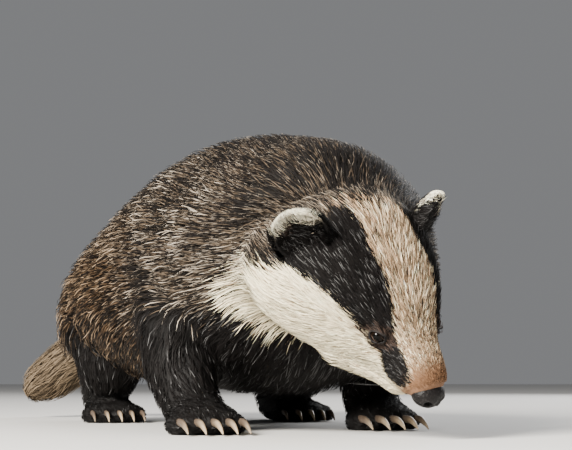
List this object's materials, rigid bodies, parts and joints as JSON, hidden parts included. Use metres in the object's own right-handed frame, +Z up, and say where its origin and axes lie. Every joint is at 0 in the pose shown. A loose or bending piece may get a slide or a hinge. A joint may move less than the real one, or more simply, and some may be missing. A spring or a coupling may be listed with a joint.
{
  "type": "european badger model",
  "caption": "Life-size still model of a European badger, crouched on four feet with its striped head turned and its nose down to the ground.",
  "frame": {"origin": "on the ground, under the middle of the animal's box", "axes": "+X the way the trunk faces, +Y the animal's left, +Z up"},
  "size_m": [0.6848, 0.2816, 0.2396],
  "materials": {
    "black_fur": "short black hair",
    "white_fur": "cream-white hair with a black stripe through each eye",
    "grey_fur": "long coarse hair, pale with black bands",
    "pale_fur": "long yellowish hair",
    "nose_skin": "bare grained skin, slightly moist",
    "eye": "dark brown, glossy",
    "claw": "horn, worn smooth"
  },
  "bodies": {
    "root": {"claw_fore_left_1": "claw", "claw_fore_left_2": "claw", "claw_fore_left_3": "claw", "claw_fore_left_4": "claw", "claw_fore_left_5": "claw", "claw_fore_right_1": "claw", "claw_fore_right_2": "claw", "claw_fore_right_3": "claw", "claw_fore_right_4": "claw", "claw_fore_right_5": "claw", "claw_hind_left_1": "claw", "claw_hind_left_2": "claw", "claw_hind_left_3": "claw", "claw_hind_left_4": "claw", "claw_hind_left_5": "claw", "claw_hind_right_1": "claw", "claw_hind_right_2": "claw", "claw_hind_right_3": "claw", "claw_hind_right_4": "claw", "claw_hind_right_5": "claw", "ear_left": "white_fur", "ear_right": "white_fur", "eye_left": "eye", "eye_right": "eye", "fore_leg_left": "black_fur", "fore_leg_right": "black_fur", "head": "white_fur", "hind_leg_left": "black_fur", "hind_leg_right": "black_fur", "lower_jaw": "white_fur", "neck": "grey_fur", "nose": "nose_skin", "tail": "pale_fur", "torso": "grey_fur"}
  },
  "joints": []
}
